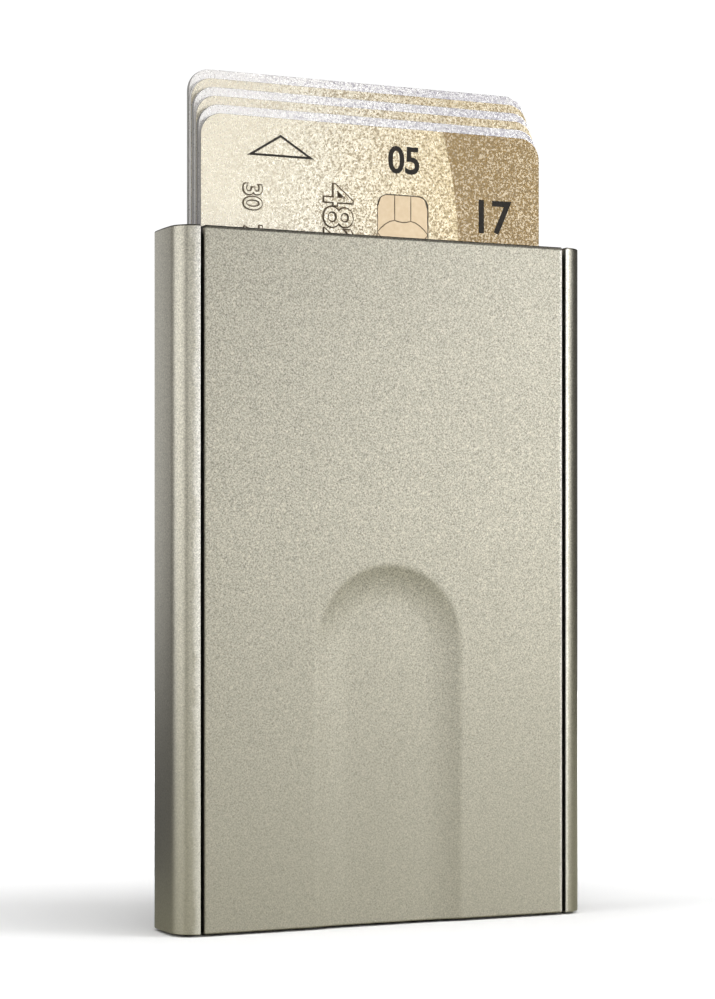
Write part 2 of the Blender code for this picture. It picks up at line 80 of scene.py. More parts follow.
# %% Camera
camera_data = bpy.data.cameras.new("studio_lens")
camera_data.sensor_width = 36.0
camera_data.lens = 94.06
camera_data.shift_y = 0.0847
camera_data.dof.use_dof = False
camera = bpy.data.objects.new("camera", camera_data)
bpy.context.scene.collection.objects.link(camera)
camera.location = (-163.5 * MM, -338.8 * MM, 48.55 * MM)
camera.rotation_euler = (math.radians(90.0), 0.0, math.radians(-25.44))
bpy.context.scene.camera = camera
bpy.context.scene.view_settings.view_transform = "Standard"
print("camera", [round(v / MM, 1) for v in camera.location])

# %% [markdown]
# ## Studio light
# Blasted metal shows its surroundings as a blur, so big soft lamps matter more than bright ones. Four
# lamps stand to the front right for the plate and its groove, and three weaker ones in front and to
# the left of it. A wide lamp at the left lights the round corner there, two stand behind, and one
# overhead draws the soft shadow. The rest of the room is dim. The camera itself sees plain white.

# %% Lamps
LAMP_DISTANCE = 0.8
LAMP_AIM = Vector((0.0, 0.0, 50.0 * MM))


def softbox(name, azimuth, elevation, size, power):
    """Area lamp aimed at the wallet; azimuth turns from the plate's front to the wallet's right."""
    turn, lift = math.radians(azimuth), math.radians(elevation)
    away = Vector((math.sin(turn) * math.cos(lift), -math.cos(turn) * math.cos(lift), math.sin(lift)))
    lamp_data = bpy.data.lights.new(name, "AREA")
    lamp_data.shape = "RECTANGLE"
    lamp_data.size, lamp_data.size_y = size
    lamp_data.energy = power
    lamp = bpy.data.objects.new(name, lamp_data)
    bpy.context.scene.collection.objects.link(lamp)
    lamp.location = LAMP_AIM + away * LAMP_DISTANCE
    lamp.rotation_euler = away.to_track_quat("Z", "Y").to_euler()
    return lamp


softbox("key_lamp", 27.0, 3.0, (0.26, 0.34), 0.53)
softbox("far_key_lamp", 36.0, 3.0, (0.26, 0.34), 0.37)
softbox("side_key_lamp", 48.0, 3.0, (0.3, 0.34), 0.37)
softbox("high_key_lamp", 54.0, 30.0, (0.3, 0.3), 2.75)
softbox("front_lamp", 0.0, 3.0, (0.3, 0.3), 0.47)
softbox("front_left_lamp", -28.0, 3.0, (0.4, 0.3), 0.32)
softbox("high_left_lamp", -30.0, 30.0, (0.3, 0.3), 0.3)
softbox("left_lamp", -85.0, 6.0, (0.9, 0.3), 1.08)
softbox("high_side_lamp", -85.0, 38.0, (0.3, 0.3), 1.2)
softbox("back_lamp", -172.0, 8.0, (0.5, 0.4), 0.24)
softbox("back_right_lamp", 155.0, 5.0, (0.6, 0.4), 0.7)
overhead = softbox("overhead_lamp", 0.0, 80.0, (0.5, 0.5), 4.3)
overhead.visible_glossy = False


# %% Node helpers
def add_node(tree, kind, inputs=None, **settings):
    """A shader node; an input takes a plain value, or an output socket that is linked to it."""
    node = tree.nodes.new("ShaderNode" + kind)
    for key, value in settings.items():
        setattr(node, key, value)
    for key, value in (inputs or {}).items():
        if isinstance(value, bpy.types.NodeSocket):
            tree.links.new(value, node.inputs[key])
        else:
            node.inputs[key].default_value = value
    return node


def maths(tree, operation, *values):
    """A Math node; values are numbers or sockets."""
    return add_node(tree, "Math", dict(enumerate(values)), operation=operation).outputs[0]


def times(tree, first, second):
    """One value times another."""
    return maths(tree, "MULTIPLY", first, second)


def ramp(tree, value, low, high, first=0.0, second=1.0):
    """A Map Range node: it gives first where the value is at low, and second where it is at high."""
    ends = {"Value": value, "From Min": low, "From Max": high, "To Min": first, "To Max": second}
    return add_node(tree, "MapRange", ends).outputs[0]


def axes_of(tree, place):
    """The X, Y and Z of a place, by name."""
    return add_node(tree, "SeparateXYZ", {0: place}).outputs


def blend(tree, share, first, second):
    """A colour Mix node; share, first and second are values or sockets."""
    pair = [item if isinstance(item, bpy.types.NodeSocket) else (*item, 1.0) for item in (first, second)]
    return add_node(tree, "Mix", {0: share, 6: pair[0], 7: pair[1]}, data_type="RGBA").outputs[2]


def split_by_viewer(tree, kind, for_others, for_camera):
    """End a tree with one shader for the camera and another for all that mirrors or catches light."""
    seen = add_node(tree, "LightPath").outputs["Is Camera Ray"]
    mixed = add_node(tree, "MixShader", {0: seen, 1: for_others.outputs[0], 2: for_camera.outputs[0]})
    add_node(tree, kind, {0: mixed.outputs[0]})


# %% Room
world = bpy.data.worlds.new("studio_room")
world.use_nodes = True
bpy.context.scene.world = world
room = world.node_tree
room.nodes.clear()
direction = axes_of(room, add_node(room, "TexCoord").outputs["Generated"])
upward = ramp(room, direction["Z"], 0.1, 0.45, 1.0, 0.1)
rightward = ramp(room, direction["X"], -0.4, 0.4, 0.46, 0.077)
strength = times(room, upward, rightward)
dim_room = add_node(room, "Background", {"Color": (1.0, 0.99, 0.97, 1.0), "Strength": strength})
white_room = add_node(room, "Background", {"Color": (1.0, 1.0, 1.0, 1.0), "Strength": 1.05})
split_by_viewer(room, "OutputWorld", dim_room, white_room)
print("room nodes:", len(room.nodes))

# %% [markdown]
# ## Floor
# The floor is a plain pale sheet, bright enough to meet the white room without a line. It is part of
# the stage, not of the wallet. For the camera it glows with painted light that fades near the wallet,
# so the soft shadow to the left, which shows where the wallet stands, comes out deeper. What the wallet
# itself mirrors is a duller sheet with a painted shadow behind the left side, so the metal keeps its
# contrast.

# %% Floor
SHEET_MIRRORED, SHEET_PAINTED_SHADOW = (0.42, 0.415, 0.33), (0.12, 0.12, 0.12)
bpy.ops.object.select_all(action="DESELECT")
bpy.ops.mesh.primitive_plane_add(size=8.0)
floor = bpy.context.active_object
floor.name = "studio_floor"
paper = bpy.data.materials.new("pale_paper")
paper.use_nodes = True
sheet = paper.node_tree
sheet.nodes.clear()
mottle = add_node(sheet, "TexNoise", {"Scale": 6.0, "Detail": 3.0}).outputs[0]
lit = add_node(sheet, "BsdfDiffuse", {"Color": ramp(sheet, mottle, 0.0, 1.0, 0.95, 0.99)})
spot = add_node(sheet, "TexCoord").outputs["Object"]
distance = add_node(sheet, "VectorMath", {0: spot}, operation="LENGTH").outputs["Value"]
# Painted light: the floor glows for the camera, dimmer near the wallet, which deepens its shadow there.
glow_fading_near_wallet = ramp(sheet, distance, 0.03, 0.32, 0.0, 1.05)
glow = add_node(sheet, "Emission", {"Color": (1.0, 1.0, 1.0, 1.0), "Strength": glow_fading_near_wallet})
bright = add_node(sheet, "AddShader", {0: lit.outputs[0], 1: glow.outputs[0]})
spot = axes_of(sheet, spot)
# Painted shadow: the sheet that the wallet mirrors is darker behind its left side.
painted_shadow_behind_left = times(sheet, ramp(sheet, spot["Y"], -0.01, 0.1), ramp(sheet, spot["X"], 0.0, -0.03))
bounce = blend(sheet, painted_shadow_behind_left, SHEET_MIRRORED, SHEET_PAINTED_SHADOW)
plain = add_node(sheet, "BsdfDiffuse", {"Color": bounce})
split_by_viewer(sheet, "OutputMaterial", plain, bright)
floor.data.materials.append(paper)
floor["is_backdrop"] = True
print("floor nodes:", len(sheet.nodes))

# %% [markdown]
# ## Shared effects
# Several finishes need the same effects, so each is a node group with named sockets: the grain that
# bead blasting leaves, the rub along edges with its painted highlight, the flakes in the cards' print,
# and moulded plastic's skin.


# %% Group helpers
def new_group(name, inputs, outputs):
    """An empty node group; an input without a default value is a vector, and all else is a number."""
    group = bpy.data.node_groups.new(name, "ShaderNodeTree")
    for label, value in inputs.items():
        kind = "NodeSocketVector" if value is None else "NodeSocketFloat"
        socket = group.interface.new_socket(label, in_out="INPUT", socket_type=kind)
        if value is not None:
            socket.default_value = value
    for label in outputs:
        group.interface.new_socket(label, in_out="OUTPUT", socket_type="NodeSocketFloat")
    return group, group.nodes.new("NodeGroupInput").outputs, group.nodes.new("NodeGroupOutput").inputs


def noise(tree, place, scale, detail, roughness=0.5):
    """A Noise Texture node at a place; its value stays near one half."""
    inputs = {"Vector": place, "Scale": scale, "Detail": detail, "Roughness": roughness}
    return add_node(tree, "TexNoise", inputs).outputs[0]


def aslant(tree, place):
    """The place turned off the axes, so that no grid in a texture lines up with a flat face."""
    return add_node(tree, "Mapping", {"Vector": place, "Rotation": (0.5, 0.8, 0.3)}).outputs[0]


def weigh(tree, first, second, share):
    """The mean of two values, with the first one's share."""
    part = times(tree, first, share)
    return maths(tree, "ADD", part, times(tree, second, 1.0 - share))


# %% Group: blasted grain
grain_inputs = {"Vector": None, "Pit Size": 0.0003, "Tone Spread": 0.1, "Depth": 1e-5}
blast_group, given, out = new_group("blasted_grain", grain_inputs, ["Tone", "Height"])
pits_per_metre = maths(blast_group, "DIVIDE", 1.0, given["Pit Size"])
place = aslant(blast_group, given["Vector"])
coarse = noise(blast_group, place, pits_per_metre, 2.0, 0.6)
fine = noise(blast_group, place, times(blast_group, pits_per_metre, 2.7), 1.0)
both = weigh(blast_group, coarse, fine, 0.7)
swing = times(blast_group, maths(blast_group, "SUBTRACT", both, 0.5), given["Tone Spread"])
blast_group.links.new(maths(blast_group, "ADD", swing, 1.0), out["Tone"])
blast_group.links.new(times(blast_group, both, given["Depth"]), out["Height"])
print("group", blast_group.name, len(blast_group.nodes), "nodes")

# %% Group: edge rub and painted highlight
rub_and_highlight_inputs = {"Vector": None, "Edge Distance": 0.03, "Reach": 0.0005, "Left Share": 1.0}
rub_and_highlight_group, given, out = new_group("edge_rub_and_painted_highlight", rub_and_highlight_inputs, ["Mask"])
where = axes_of(rub_and_highlight_group, given["Vector"])
aside = maths(rub_and_highlight_group, "ABSOLUTE", where["X"])
from_edge = maths(rub_and_highlight_group, "ABSOLUTE", maths(rub_and_highlight_group, "SUBTRACT", given["Edge Distance"], aside))
patches = times(rub_and_highlight_group, noise(rub_and_highlight_group, given["Vector"], 420.0, 4.0, 0.65), 2.0)
ragged = times(rub_and_highlight_group, given["Reach"], patches)
near = ramp(rub_and_highlight_group, from_edge, 0.0, ragged, 1.0, 0.0)
on_left = maths(rub_and_highlight_group, "LESS_THAN", where["X"], 0.0)
share = ramp(rub_and_highlight_group, on_left, 0.0, 1.0, 1.0, given["Left Share"])
rub_and_highlight_group.links.new(times(rub_and_highlight_group, near, share), out["Mask"])
print("group", rub_and_highlight_group.name, len(rub_and_highlight_group.nodes), "nodes")

# %% Group: print flakes
flake_inputs = {"Vector": None, "Flake Size": 0.00022, "Depth": 1e-5}
flake_group, given, out = new_group("print_flakes", flake_inputs, ["Glint", "Shade", "Height"])
flakes_per_metre = maths(flake_group, "DIVIDE", 1.0, given["Flake Size"])
place = aslant(flake_group, given["Vector"])
clump = noise(flake_group, place, times(flake_group, flakes_per_metre, 0.8), 1.0)
cells = add_node(flake_group, "TexVoronoi", {"Vector": place, "Scale": flakes_per_metre})
own = add_node(flake_group, "SeparateColor", {0: cells.outputs["Color"]}).outputs
mixed = weigh(flake_group, own[0], clump, 0.35)
flake_group.links.new(ramp(flake_group, mixed, 0.5, 0.63), out["Glint"])
flake_group.links.new(ramp(flake_group, mixed, 0.5, 0.37), out["Shade"])
flake_group.links.new(times(flake_group, own[2], given["Depth"]), out["Height"])
print("group", flake_group.name, len(flake_group.nodes), "nodes")


# %% Material helpers
def new_finish(name, roughness, metallic, **sockets):
    """A Principled finish; the plain values go straight on the shader's own sockets."""
    finish = bpy.data.materials.new(name)
    finish.use_nodes = True
    tree = finish.node_tree
    shader = tree.nodes["Principled BSDF"]
    shader.inputs["Roughness"].default_value = roughness
    shader.inputs["Metallic"].default_value = metallic
    for label, value in sockets.items():
        shader.inputs[label.replace("_", " ")].default_value = value
    place = add_node(tree, "TexCoord").outputs["Object"]
    return finish, tree, shader, place


def use_group(tree, group, **inputs):
    """One group node, with its tree set before its sockets are filled."""
    inputs = {label.replace("_", " "): value for label, value in inputs.items()}
    return add_node(tree, "Group", inputs, node_tree=group).outputs


def dress(tree, shader, colour, roughness=None, heights=None):
    """Lead a colour, a roughness and heights in metres to the shader."""
    tree.links.new(colour, shader.inputs["Base Color"])
    if roughness is not None:
        tree.links.new(roughness, shader.inputs["Roughness"])
    if heights is not None:
        bump = add_node(tree, "Bump", {"Strength": 1.0, "Distance": 1.0, "Height": heights})
        tree.links.new(bump.outputs[0], shader.inputs["Normal"])


# %% [markdown]
# ## Aluminium finish
# The shell and the plate are bead-blasted and anodised to a warm grey. Blasting leaves pits of about
# a fifth of a millimetre. Hands rub the edges paler, and the same mask paints a highlight along them.
# The gap walls beside the plate get painted shade, and so does a thin line along the top edge. A
# painted picture would fit one piece only, so the finish is worked out from each point's place. The
# plate is a little darker than the shell, and painted light makes it darker to the left and at the top.

# %% Blasted aluminium
METAL, PALER_METAL, RUBBED_METAL_AND_HIGHLIGHT = (0.50, 0.478, 0.405), (0.53, 0.507, 0.43), (0.95, 0.93, 0.88)
GAP_PAINTED_SHADE, TOP_EDGE_PAINTED_SHADE = (0.012, 0.011, 0.010), (0.06, 0.055, 0.045)
PIT_SIZE, PIT_DEPTH = 0.22 * MM, 0.022 * MM
RUB_AND_HIGHLIGHT_BACK, RIGHT_REACH = -5.0 * MM, 0.4 * MM
GAP_SHADE_STARTS, GAP_SHADE_FULL = -5.3 * MM, -4.8 * MM
shell_low, shell_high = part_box("rear_shell")
plate_low, plate_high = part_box("front_plate")


def blasted_aluminium(name, roughness, edge, left_share, left_reach, gap_shade_from, top_shade_reach, tone, painted_light_drift, grit):
    """Bead-blasted metal; its upright edges, at a distance from the middle, are rubbed paler and carry a
    painted highlight; painted shade darkens the gap walls and the top edge, and painted light tilts the tone.
    """
    finish, tree, shader, place = new_finish(name, roughness, 1.0)
    where = axes_of(tree, place)
    spread = ramp(tree, where["Z"], 10 * MM, 60 * MM, 1.4 * grit, 3.2 * grit)
    grain = use_group(tree, blast_group, Vector=place, Pit_Size=PIT_SIZE, Tone_Spread=spread, Depth=PIT_DEPTH)
    reach = ramp(tree, where["X"], -MM, MM, left_reach, RIGHT_REACH)
    rub_and_highlight = use_group(tree, rub_and_highlight_group, Vector=place, Edge_Distance=edge, Reach=reach, Left_Share=left_share)
    # Rub mask: partly real wear and partly a painted highlight, on both lips but on the plate's right edge
    # only.
    rubbed_and_highlit = times(tree, rub_and_highlight["Mask"], maths(tree, "LESS_THAN", where["Y"], RUB_AND_HIGHLIGHT_BACK))
    body = blend(tree, noise(tree, place, 60.0, 2.0), METAL, PALER_METAL)
    worn_and_highlit = blend(tree, times(tree, rubbed_and_highlit, 0.85), body, RUBBED_METAL_AND_HIGHLIGHT)
    # Painted shade: the plate's side walls go dark towards the back, where the gaps beside the rails lie in
    # shadow.
    outside = maths(tree, "GREATER_THAN", maths(tree, "ABSOLUTE", where["X"]), gap_shade_from)
    gap_shade = times(tree, outside, ramp(tree, where["Y"], GAP_SHADE_STARTS, GAP_SHADE_FULL))
    gap_shaded = blend(tree, times(tree, gap_shade, 0.92), worn_and_highlit, GAP_PAINTED_SHADE)
    # Painted shade: a dark line along the top edge.
    end = ramp(tree, where["Z"], shell_high.z - top_shade_reach, shell_high.z - 0.7 * top_shade_reach, 0.0, 0.88)
    top_edge_shaded = blend(tree, end, gap_shaded, TOP_EDGE_PAINTED_SHADE)
    # Painted light: the plate is darker to the left and towards the top, and lighter to the right.
    painted_light_across = ramp(tree, where["X"], -28 * MM, 28 * MM, tone - painted_light_drift, tone + painted_light_drift)
    upward = ramp(tree, where["Z"], 60 * MM, 95 * MM, 1.0, 1.0 - 2.8 * painted_light_drift)
    shade = times(tree, grain["Tone"], times(tree, painted_light_across, upward))
    toned = add_node(tree, "VectorMath", {0: top_edge_shaded, "Scale": shade}, operation="SCALE")
    dulled = maths(tree, "ADD", roughness, times(tree, rubbed_and_highlit, 0.06))
    dress(tree, shader, toned.outputs[0], dulled, grain["Height"])
    return finish


LIP_INNER = 28.85 * MM
NOWHERE = 1.0
shell_finish = blasted_aluminium(
    "blasted_aluminium_shell", roughness=0.29, edge=LIP_INNER + 0.1 * MM, left_share=1.0,
    left_reach=1.1 * MM, gap_shade_from=NOWHERE, top_shade_reach=0.25 * MM, tone=1.0, painted_light_drift=0.0, grit=0.65,
)
plate_finish = blasted_aluminium(
    "blasted_aluminium_plate", roughness=0.43, edge=plate_high.x - 0.15 * MM, left_share=0.0,
    left_reach=RIGHT_REACH, gap_shade_from=plate_high.x - 0.1 * MM, top_shade_reach=0.52 * MM, tone=0.92, painted_light_drift=0.03,
    grit=1.0,
)
print("finishes:", shell_finish.name, plate_finish.name)

# %% [markdown]
# ## Working by hand, in code
# The next helpers do what a hand does in the window: clear the selection, add a block, pick edges by
# where they lie, round them, carve one form with another, and set the smooth shading.


# %% Selection helpers
def leave_edit():
    """Back to object mode, where the mesh can be read."""
    bpy.ops.object.mode_set(mode="OBJECT")


def deselect_all():
    """Object mode with nothing selected."""
    if bpy.context.mode != "OBJECT":
        leave_edit()
    bpy.ops.object.select_all(action="DESELECT")


def take_up(piece):
    """Make one piece the only selected and active one."""
    deselect_all()
    piece.select_set(True)
    bpy.context.view_layer.objects.active = piece


def enter_edit(piece):
    """Edit mode on one piece, with all of it selected."""
    take_up(piece)
    bpy.ops.object.mode_set(mode="EDIT")
    bpy.ops.mesh.select_all(action="SELECT")


def pick(piece, kind, wanted):
    """Edit mode with only the edges, faces or verts selected for which wanted(element) is true."""
    enter_edit(piece)
    bpy.ops.mesh.select_mode(type=kind)
    bpy.ops.mesh.select_all(action="DESELECT")
    form = bmesh.from_edit_mesh(piece.data)
    elements = {"EDGE": form.edges, "FACE": form.faces, "VERT": form.verts}[kind]
    chosen = [element for element in elements if wanted(element)]
    for element in chosen:
        element.select_set(True)
    if kind == "VERT":
        form.select_flush(True)
    bmesh.update_edit_mesh(piece.data)
    return len(chosen)


# %% Modelling helpers
HAIR = 1e-6


def new_piece(name):
    """Name the form that was just added, and put its place, turn and scale into its mesh."""
    piece = bpy.context.active_object
    piece.name = name
    bpy.ops.object.transform_apply(location=True, rotation=True, scale=True)
    return piece


def add_block(name, low, high):
    """A block between two corners."""
    deselect_all()
    low, high = Vector(low), Vector(high)
    bpy.ops.mesh.primitive_cube_add(size=1.0, location=(low + high) / 2, scale=high - low)
    return new_piece(name)


def upright(x, y):
    """A test for the upright edges at a given distance from the middle and a given depth."""
    def test(edge):
        low, high = (vert.co for vert in edge.verts)
        in_place = abs(abs(low.x) - x) < HAIR and abs(low.y - y) < HAIR
        return in_place and (low.xy - high.xy).length < HAIR
    return test


def level(z):
    """A test for the edges that lie in the plane at a given height."""
    return lambda edge: all(abs(vert.co.z - z) < HAIR for vert in edge.verts)


def extrude(step):
    """Extrude what is selected by one step."""
    bpy.ops.mesh.extrude_region_move(TRANSFORM_OT_translate={"value": step})


def face_outwards():
    """Turn every face outwards and leave edit mode."""
    bpy.ops.mesh.select_all(action="SELECT")
    bpy.ops.mesh.normals_make_consistent(inside=False)
    leave_edit()


def round_edges(piece, wanted, radius, steps):
    """Round the edges for which wanted(edge) is true."""
    pick(piece, "EDGE", wanted)
    bpy.ops.mesh.bevel(offset=radius, segments=steps, profile=0.5, affect="EDGES", clamp_overlap=False)
    leave_edit()


def modify(piece, kind, **settings):
    """Give a piece a modifier with its settings, and apply it."""
    modifier = piece.modifiers.new(kind, kind)
    for key, value in settings.items():
        setattr(modifier, key, value)
    take_up(piece)
    bpy.ops.object.modifier_apply(modifier=modifier.name)


def carve(piece, cutter):
    """Cut a piece with another form, which is used up."""
    modify(piece, "BOOLEAN", operation="DIFFERENCE", solver="EXACT", object=cutter)
    bpy.data.objects.remove(cutter, do_unlink=True)


def join(piece, *others):
    """Join other forms onto a piece, after its own faces."""
    take_up(piece)
    for other in others:
        other.select_set(True)
    bpy.ops.object.join()


def smooth_off(piece, angle=32.0):
    """Smooth shading that keeps flat faces flat."""
    take_up(piece)
    bpy.ops.object.shade_smooth_by_angle(angle=math.radians(angle))
    modify(piece, "WEIGHTED_NORMAL", keep_sharp=True)


def hand_over(piece, body, nodes, slot, *finishes):
    """Give a finished piece its body, the nodes that it stands for and its finishes; the slot argument is not
    used.
    """
    for finish in finishes:
        piece.data.materials.append(finish)
    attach(piece, body)
    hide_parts(*nodes)
    print(piece.name, "on", body, len(piece.data.polygons), "faces")


# %% [markdown]
# ## Shell
# The real shell is an extruded aluminium profile: a thin back, two thick rails with round corners and
# slightly crowned sides, and a lip on each rail that holds the plate. It could be drawn as an outline
# and extruded. Here a block is rounded and then carved, because that shows each radius as one step.

# %% Shell
FRONT_RADIUS, BACK_RADIUS, INNER_RADIUS = 3.0 * MM, 2.3 * MM, 1.5 * MM
LIP_EDGE, SHELL_END_EDGE = 0.15 * MM, 0.14 * MM
CROWN, CROWN_MIDDLE, CROWN_HALF = 0.1 * MM, -0.5 * MM, 2.9 * MM
CUT_SPACING = 0.5 * MM
INNER_HALF, INNER_FRONT, INNER_BACK = 30.75 * MM, -3.9 * MM, 4.8 * MM
UNDER, OVER = -5.0 * MM, 105.0 * MM
shell = add_block("shell", shell_low, shell_high)
round_edges(shell, upright(shell_high.x, shell_low.y), FRONT_RADIUS, 16)
round_edges(shell, upright(shell_high.x, shell_high.y), BACK_RADIUS, 16)
for step in range(-5, 6):
    enter_edit(shell)
    bpy.ops.mesh.bisect(plane_co=(0.0, step * CUT_SPACING, 0.0), plane_no=(0.0, 1.0, 0.0))
    leave_edit()
for vert in shell.data.vertices:
    away = abs(vert.co.y - CROWN_MIDDLE) / CROWN_HALF
    inward = CROWN * (away**2 if away < 1.0 else 2.0 * away - 1.0)
    vert.co.x -= math.copysign(inward, vert.co.x)
cavity = add_block("cavity", (-INNER_HALF, INNER_FRONT, UNDER), (INNER_HALF, INNER_BACK, OVER))
round_edges(cavity, upright(INNER_HALF, INNER_BACK), INNER_RADIUS, 8)
carve(shell, cavity)
carve(shell, add_block("mouth", (-LIP_INNER, -8 * MM, UNDER), (LIP_INNER, -3 * MM, OVER)))
round_edges(shell, upright(LIP_INNER, shell_low.y), LIP_EDGE, 4)
for end in (shell_low.z, shell_high.z):
    round_edges(shell, level(end), SHELL_END_EDGE, 3)
smooth_off(shell)
hand_over(shell, "case", ["rear_shell"], "blasted_aluminium", shell_finish)

# %% [markdown]
# ## Front plate
# The plate carries the thumb groove: a flat floor with a soft wall, round at the top and open below.
# A cutter would leave a hard line to soften afterwards. Instead the groove's section is drawn once,
# spun half a turn for the arch, and pulled down for the legs, as a lathe and a press would do it.
# The wall climbs slowly from the floor, is steepest near its top, and runs out softly at the rim.

# %% Groove section
GROOVE_DEPTH = 0.6 * MM
FLOOR_HALF = 5.75 * MM
WALL_RADIUS = 34.6 * MM
WALL_WIDTH = 6.2 * MM
WALL_SLOPE = 0.41
STEEPEST = 0.84
RIM = 12.35 * MM
ARCH_Z = 39.8 * MM
face_y, back_y = plate_low.y, plate_high.y
deselect_all()
section_middle = (FLOOR_HALF, face_y + GROOVE_DEPTH - WALL_RADIUS, ARCH_Z)
bpy.ops.mesh.primitive_circle_add(vertices=1200, radius=WALL_RADIUS, location=section_middle)
plate = new_piece("thumb_plate")
pick(plate, "VERT", lambda vert: vert.co.y < face_y + 0.02 * MM or vert.co.x < FLOOR_HALF - HAIR)
bpy.ops.mesh.delete(type="VERT")
leave_edit()
print("section points:", len(plate.data.vertices))


# %% Groove sheet
def pull(piece, wanted, step):
    """Extrude the chosen points, with the edges between them, by one step."""
    pick(piece, "VERT", wanted)
    extrude(step)
    leave_edit()


def at(point):
    """A test for the point at a given place."""
    return lambda vert: (vert.co - point).length < HAIR


last = max(plate.data.vertices, key=lambda vert: vert.co.x).co.copy()
first = min(plate.data.vertices, key=lambda vert: vert.co.x).co.copy()
pull(plate, at(first), (-FLOOR_HALF, 0.0, 0.0))
rise_left = last.y - face_y
to_rim = Vector((rise_left / WALL_SLOPE, -rise_left, 0.0))
pull(plate, at(last), to_rim)
corner = last + to_rim
pull(plate, at(corner), (RIM - corner.x, 0.0, 0.0))
for vert in plate.data.vertices:
    across_wall = min(max((vert.co.x - FLOOR_HALF) / WALL_WIDTH, 0.0), 1.0)
    past = max(across_wall - STEEPEST, 0.0)
    climbed = min(across_wall, STEEPEST) ** 2 / STEEPEST + 2.0 * past - past**2 / (1.0 - STEEPEST)
    vert.co.y = face_y + GROOVE_DEPTH * (1.0 - climbed)
enter_edit(plate)
bpy.ops.mesh.spin(steps=72, angle=math.pi, center=(0.0, face_y, ARCH_Z), axis=(0.0, 1.0, 0.0))
bpy.ops.mesh.select_all(action="SELECT")
bpy.ops.mesh.remove_doubles(threshold=HAIR)
leave_edit()
print("arch top in mm:", round(max(vert.co.z for vert in plate.data.vertices) / MM, 2))
pull(plate, lambda vert: abs(vert.co.z - ARCH_Z) < HAIR, (0.0, 0.0, plate_low.z - ARCH_Z))

# %% Plate body
side_x, foot_z, top_z = plate_high.x, plate_low.z, plate_high.z
path = [(RIM, foot_z), (side_x, foot_z), (side_x, top_z), (-side_x, top_z), (-side_x, foot_z)]
for (x, z), (next_x, next_z) in zip(path, path[1:]):
    pull(plate, at(Vector((x, face_y, z))), (next_x - x, 0.0, next_z - z))
ends = [Vector((-side_x, face_y, foot_z)), Vector((-RIM, face_y, foot_z))]
pick(plate, "VERT", lambda vert: min((vert.co - end).length for end in ends) < HAIR)
bpy.ops.mesh.edge_face_add()
leave_edit()


def on_front_outline(edge):
    """Edges round the flat part of the plate's face: the arch's rim and the plate's own border."""
    if any(abs(vert.co.y - face_y) > HAIR for vert in edge.verts):
        return False
    past_rim = all(abs(vert.co.x) > RIM - 0.01 * MM or vert.co.z > ARCH_Z - HAIR for vert in edge.verts)
    return edge.is_wire or (edge.is_boundary and past_rim)


count = pick(plate, "EDGE", on_front_outline)
bpy.ops.mesh.edge_face_add()
leave_edit()
largest = max(len(face.vertices) for face in plate.data.polygons)
print("outline edges:", count, "largest face has", largest, "corners")

# %% Plate thickness
PLATE_SIDE_EDGE, PLATE_END_EDGE = 0.25 * MM, 0.24 * MM
HOLE_RADIUS, HOLE_DEPTH = 0.8 * MM, 1.6 * MM
pick(plate, "EDGE", lambda edge: edge.is_boundary)
extrude((0.0, back_y - face_y, 0.0))
bpy.ops.transform.resize(value=(1.0, 0.0, 1.0), center_override=(0.0, back_y, 0.0))
bpy.ops.mesh.edge_face_add()
face_outwards()
depths = [vert.co.y / MM for vert in plate.data.vertices]
print("plate depth:", round(min(depths), 3), round(max(depths), 3))
round_edges(plate, upright(side_x, face_y), PLATE_SIDE_EDGE, 5)
for end in (top_z, foot_z):
    round_edges(plate, level(end), PLATE_END_EDGE, 4)
for x in (-20.0 * MM, 20.0 * MM):
    for z in (20.0 * MM, 60.0 * MM):
        deselect_all()
        hole = (x, face_y + HOLE_DEPTH, z)
        bpy.ops.mesh.primitive_cylinder_add(
            vertices=32, radius=HOLE_RADIUS, depth=2.0 * MM, location=hole, rotation=(math.pi / 2, 0.0, 0.0)
        )
        carve(plate, bpy.context.active_object)
smooth_off(plate)
hand_over(plate, "slider", ["front_plate"], "blasted_aluminium", plate_finish)

# %% [markdown]
# ## Card print
# The cards are white plastic with a glittering foil print under a clear film. Gold and silver cards
# take turns. The print is paler at one side, as foil prints with a gradient are, and the front card
# has a bronze field at its right. Each flake is one cell of a fine Voronoi pattern, and a share of
# noise makes the flakes gather in clumps.

# %% Card prints
STACK_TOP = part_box("card_1")[1].z
FIELD_LEFT, FIELD_LEAN = 10.9 * MM, 0.15
SWAY, SWAY_PER_METRE = 0.6 * MM, 180.0


